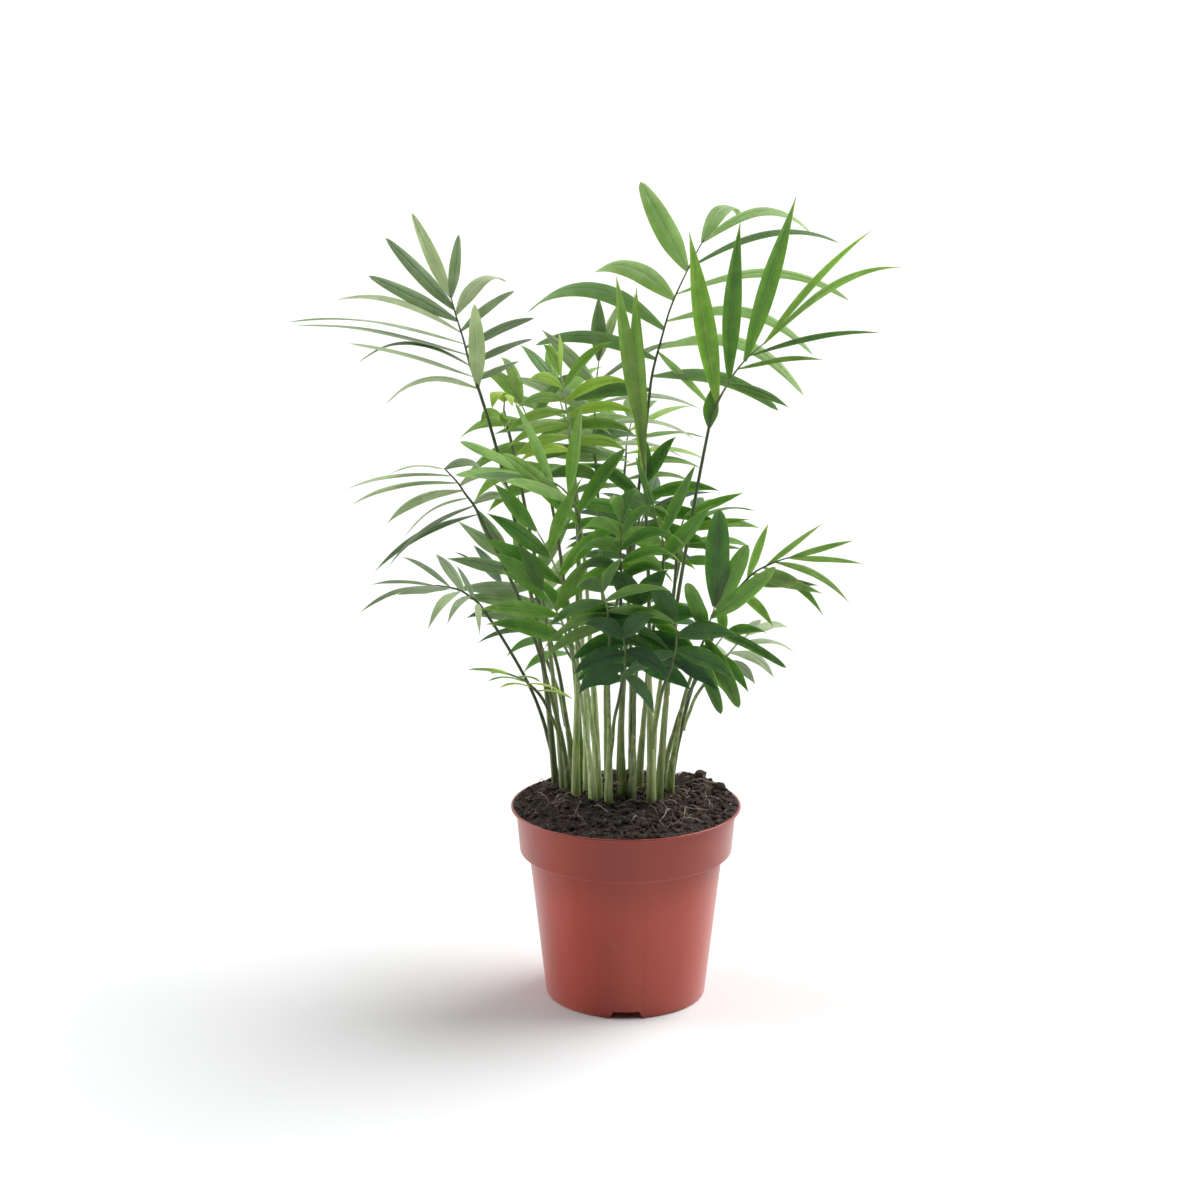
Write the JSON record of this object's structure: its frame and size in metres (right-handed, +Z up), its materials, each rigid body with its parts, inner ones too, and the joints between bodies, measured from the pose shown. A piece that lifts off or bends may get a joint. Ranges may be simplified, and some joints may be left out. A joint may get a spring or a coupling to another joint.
{
  "type": "potted parlour palm",
  "caption": "Young indoor palm in a small round nursery pot: slender canes rise from potting soil and carry arching feathered fronds.",
  "frame": {"origin": "centre of the pot's flat underside", "axes": "+Z up along the plant; -Y is the side that is seen first; +X is to its right"},
  "size_m": [0.2972, 0.2269, 0.4216],
  "materials": {
    "pot_plastic": "satin terracotta-red moulded plastic",
    "potting_soil": "damp dark peat with tan fibres",
    "cane": "pale green sheathed stem, satin",
    "leaf": "thin green leaf blade, slight gloss"
  },
  "bodies": {
    "root": {"pot": "pot_plastic", "soil": "potting_soil", "cane_top_left": "cane", "cane_top_centre": "cane", "cane_top_right": "cane", "cane_spear": "cane", "cane_left_outer": "cane", "cane_lower_left": "cane", "cane_outer_right": "cane", "cane_right_broad": "cane", "cane_left_bright": "cane", "cane_small_left": "cane", "cane_centre_lime": "cane", "cane_centre_grey": "cane", "cane_centre_left": "cane", "cane_centre_front": "cane", "cane_centre_low": "cane", "cane_curl": "cane", "cane_rosette": "cane", "cane_lower_dark": "cane", "cane_right_drop": "cane", "cane_left_sweep": "cane", "cane_left_rear": "cane", "cane_rear_centre": "cane", "cane_rear_left": "cane", "cane_rear_right": "cane", "frond_top_left": "leaf", "frond_top_centre": "leaf", "frond_top_right": "leaf", "frond_spear": "leaf", "frond_left_outer": "leaf", "frond_lower_left": "leaf", "frond_outer_right": "leaf", "frond_right_broad": "leaf", "frond_left_bright": "leaf", "frond_small_left": "leaf", "frond_centre_lime": "leaf", "frond_centre_grey": "leaf", "frond_centre_left": "leaf", "frond_centre_front": "leaf", "frond_centre_low": "leaf", "frond_curl": "leaf", "frond_rosette": "leaf", "frond_lower_dark": "leaf", "frond_right_drop": "leaf", "frond_left_sweep": "leaf", "frond_left_rear": "leaf", "frond_rear_centre": "leaf", "frond_rear_left": "leaf", "frond_rear_right": "leaf", "frond_left_low": "leaf", "frond_rear_low": "leaf", "frond_rear_low_left": "leaf", "frond_right_rear_low": "leaf", "frond_right_upper": "leaf", "frond_centre_rear": "leaf", "frond_left_back": "leaf", "frond_front_low": "leaf", "frond_front_low_left": "leaf", "frond_centre_inner": "leaf"}
  },
  "joints": []
}
